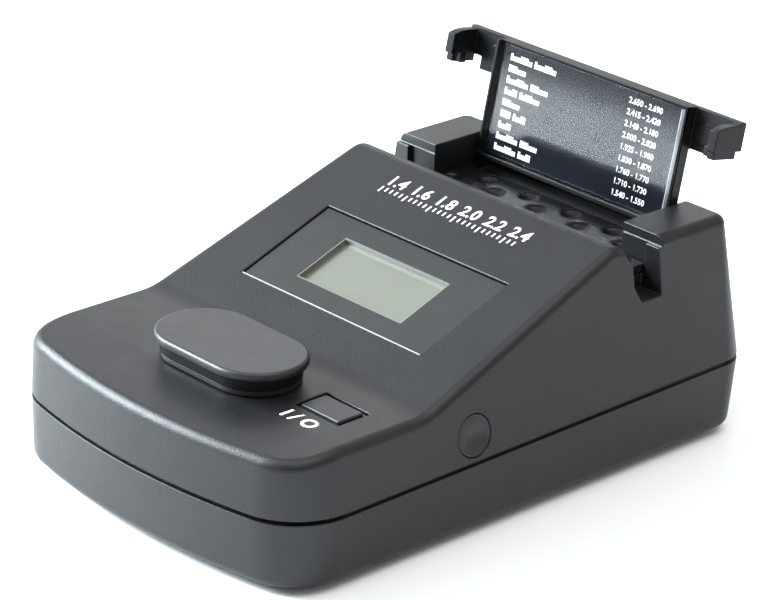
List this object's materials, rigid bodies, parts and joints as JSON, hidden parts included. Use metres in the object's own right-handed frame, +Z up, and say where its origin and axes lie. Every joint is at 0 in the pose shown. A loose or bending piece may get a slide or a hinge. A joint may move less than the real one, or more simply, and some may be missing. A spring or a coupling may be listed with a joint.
{
  "type": "refractive index meter",
  "caption": "Wedge-shaped desktop gem tester with a sloping display, a flip-up light shield over its test platform, a gem tray and a hinged chart lid with hooks.",
  "frame": {"origin": "middle of the footprint, on the surface that the feet stand on", "axes": "+X to the user's right, +Y from the user's side towards the chart lid, +Z up"},
  "size_m": [0.1002, 0.1526, 0.0796],
  "materials": {
    "board_green": "solder-masked circuit board",
    "button_grey": "fine texture, dark grey",
    "card_black": "black printed card",
    "case_black": "fine spark-eroded moulding texture, charcoal black",
    "cell_sleeve": "shrink sleeve",
    "chip_black": "moulded black",
    "clear_sheet": "clear polished acrylic sheet",
    "glass": "clear optical glass",
    "lcd_grey": "grey-green reflective display glass",
    "lid_black": "fine moulding texture, charcoal black",
    "nickel": "nickel plated sheet",
    "ribbon_grey": "flat ribbon cable",
    "rubber_black": "matt black elastomer",
    "shield_black": "fine moulding texture, charcoal black",
    "steel": "plated steel"
  },
  "bodies": {
    "case": {"aperture_glass": "glass", "battery_1": "cell_sleeve", "battery_2": "cell_sleeve", "battery_3": "cell_sleeve", "battery_4": "cell_sleeve", "battery_spring_1": "steel", "battery_spring_2": "steel", "battery_spring_3": "steel", "battery_spring_4": "steel", "board_link": "chip_black", "board_screw_1": "steel", "board_screw_2": "steel", "board_screw_3": "steel", "board_screw_4": "steel", "capacitor": "cell_sleeve", "case_screw_1": "steel", "case_screw_2": "steel", "case_screw_3": "steel", "case_screw_4": "steel", "contact_plate_left": "nickel", "contact_plate_right": "nickel", "contact_strip_lower": "rubber_black", "contact_strip_upper": "rubber_black", "crystal": "nickel", "display_bezel": "case_black", "display_board": "board_green", "display_screw_1": "steel", "display_screw_2": "steel", "foot_1": "rubber_black", "foot_2": "rubber_black", "foot_3": "rubber_black", "foot_4": "rubber_black", "gem_tray": "case_black", "infrared_emitter": "glass", "lcd_glass": "lcd_grey", "lcd_holder": "chip_black", "lid_pin_left": "steel", "lid_pin_right": "steel", "light_sensor": "glass", "lower_case": "case_black", "main_board": "board_green", "microcontroller": "chip_black", "optical_block": "chip_black", "ribbon_cable": "ribbon_grey", "sensor_board": "board_green", "shield_base": "shield_black", "shield_hinge_pin": "steel", "side_plug": "button_grey", "tact_switch": "chip_black", "test_platform": "steel", "upper_case": "case_black", "voltage_regulator": "chip_black"},
    "chart_lid": {"chart_lid": "lid_black", "chart_card": "card_black", "chart_window": "clear_sheet"},
    "light_shield": {"light_shield": "shield_black"},
    "power_button": {"power_button": "button_grey", "switch_plunger": "button_grey"},
    "battery_door": {"battery_door": "case_black"}
  },
  "joints": [
    {"name": "chart_lid_hinge", "type": "hinge", "parent": "case", "child": "chart_lid", "pos_m": [0, 0.0644, 0.0517], "axis": [1, 0, 0], "range_deg": [0, 101]},
    {"name": "light_shield_hinge", "type": "hinge", "parent": "case", "child": "light_shield", "pos_m": [0, -0.0352, 0.0365], "axis": [-1, 0, 0], "range_deg": [0, 105]},
    {"name": "power_button_press", "type": "slide", "parent": "case", "child": "power_button", "axis": [0, 0, -1], "range_m": [0, 0.0005], "stiffness_N_per_m": 400},
    {"name": "battery_door_slide", "type": "slide", "parent": "case", "child": "battery_door", "axis": [0, 1, 0], "range_m": [0, 0.008]}
  ]
}
